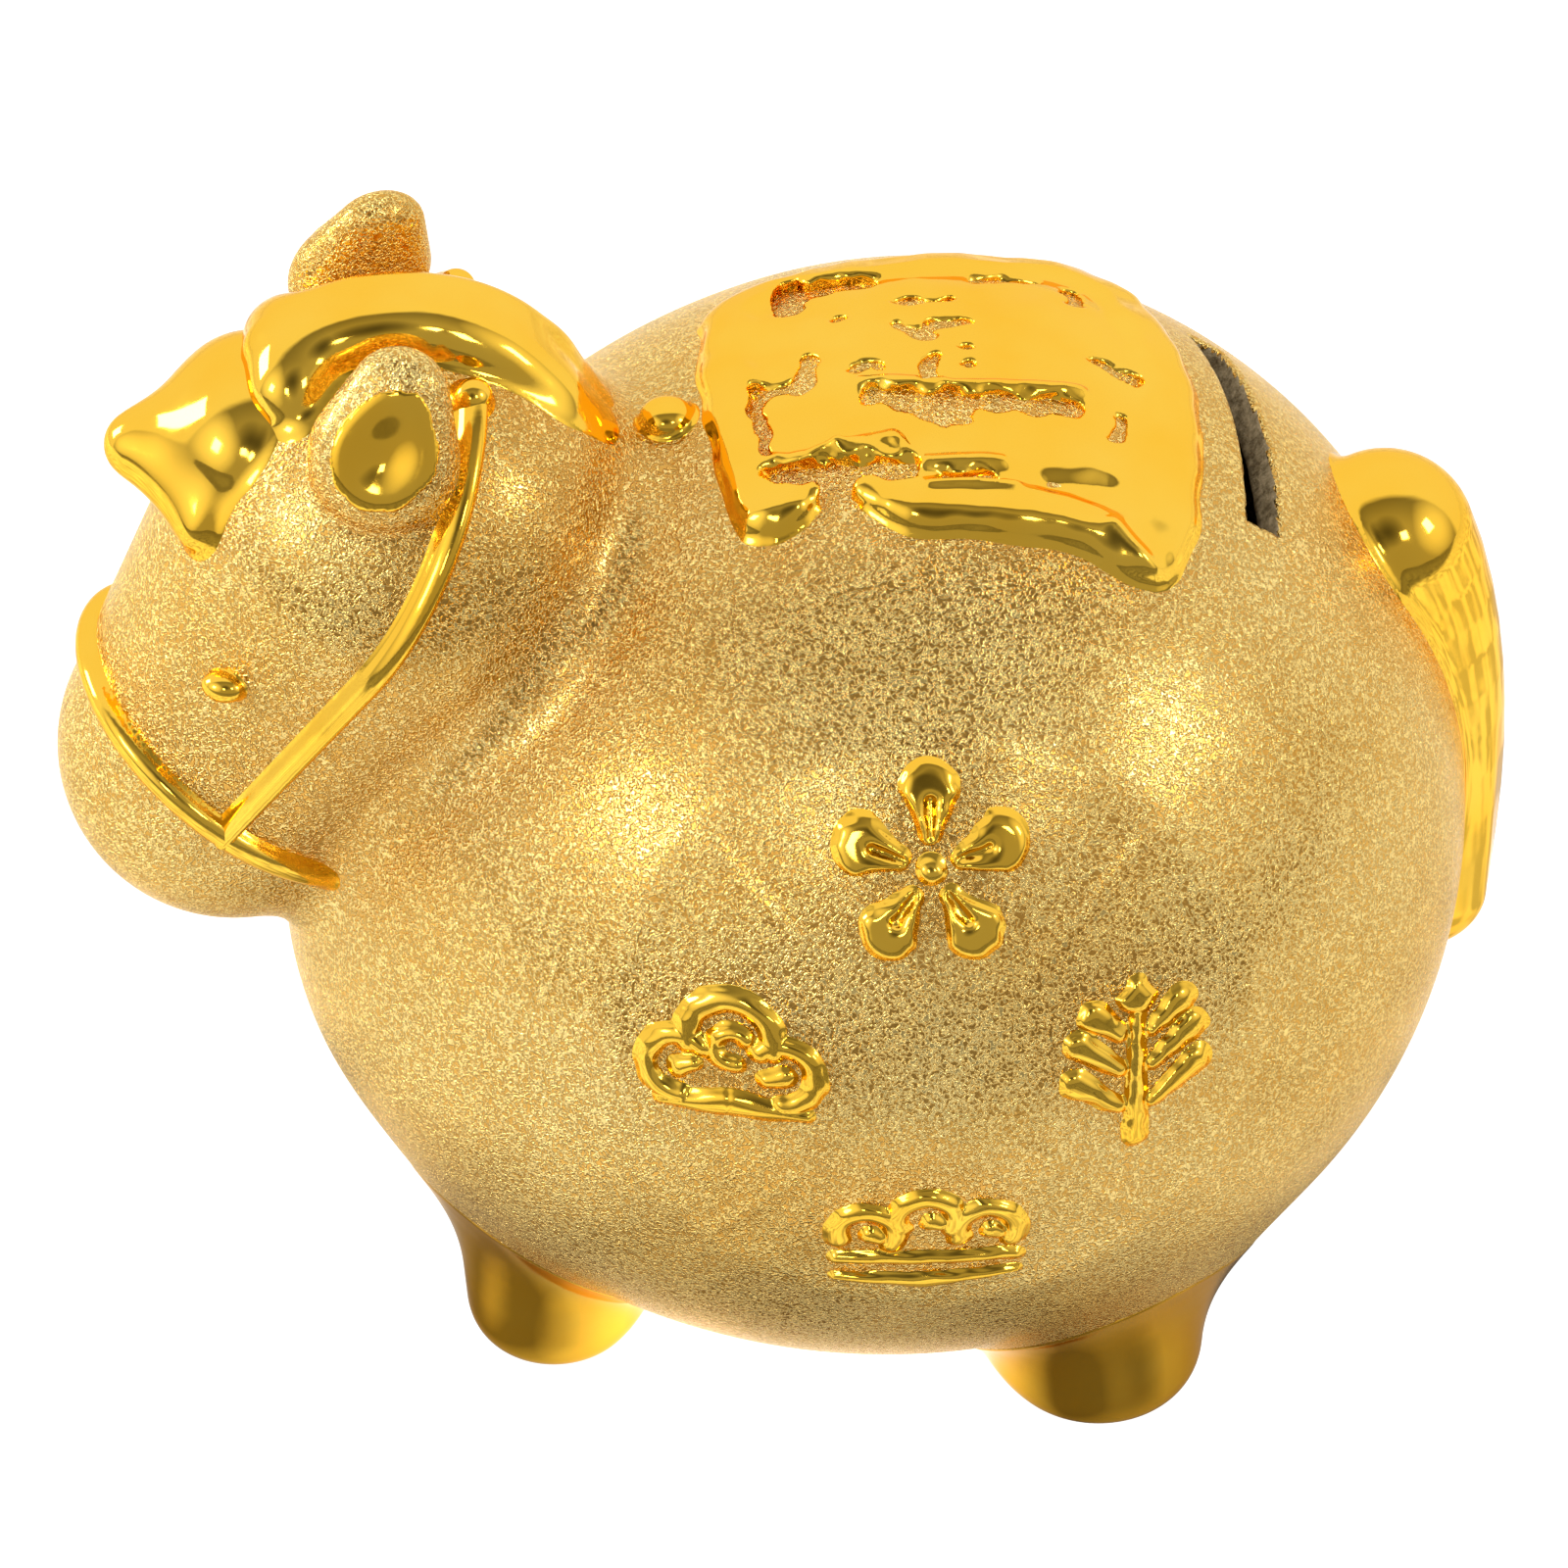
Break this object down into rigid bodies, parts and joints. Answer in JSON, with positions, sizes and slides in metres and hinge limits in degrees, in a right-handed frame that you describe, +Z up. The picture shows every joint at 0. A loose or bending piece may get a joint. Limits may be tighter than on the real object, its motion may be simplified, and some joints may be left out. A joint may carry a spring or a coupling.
{
  "type": "animal coin bank",
  "caption": "Hollow gilt ceramic coin bank shaped like a round-bellied horse, with a coin slot behind its saddle cloth and a rubber stopper underneath.",
  "frame": {"origin": "on the table under the middle of the bank's outer box", "axes": "+Z up, the horse faces -X, its left flank faces -Y"},
  "size_m": [0.1394, 0.1068, 0.1226],
  "materials": {
    "frosted_gold": "gilt over a fine sanded glaze, satin",
    "polished_gold": "gilt over smooth glaze, mirror bright",
    "stopper_rubber": "matt"
  },
  "bodies": {
    "bank": {"belly_shell": "frosted_gold", "head_shell": "frosted_gold", "mane": "polished_gold", "forelock": "polished_gold", "noseband": "polished_gold", "saddle_cloth": "polished_gold", "withers_knob": "polished_gold", "tail": "polished_gold", "foot_front_left": "polished_gold", "foot_front_right": "polished_gold", "foot_rear_left": "polished_gold", "foot_rear_right": "polished_gold", "ear_left": "frosted_gold", "ear_right": "frosted_gold", "eye_left": "polished_gold", "eye_right": "polished_gold", "halter_bead_left": "polished_gold", "halter_bead_right": "polished_gold", "cheek_strap_left": "polished_gold", "cheek_strap_right": "polished_gold", "coin_ring_left": "frosted_gold", "coin_ring_right": "frosted_gold", "emblem_blossom_left": "polished_gold", "emblem_blossom_right": "polished_gold", "emblem_cloud_left": "polished_gold", "emblem_cloud_right": "polished_gold", "emblem_sprig_left": "polished_gold", "emblem_sprig_right": "polished_gold", "emblem_wave_left": "polished_gold", "emblem_wave_right": "polished_gold"},
    "stopper": {"stopper": "stopper_rubber"}
  },
  "joints": [
    {"name": "stopper_pull", "type": "slide", "parent": "bank", "child": "stopper", "axis": [0, 0, -1], "range_m": [0, 0.02]}
  ]
}
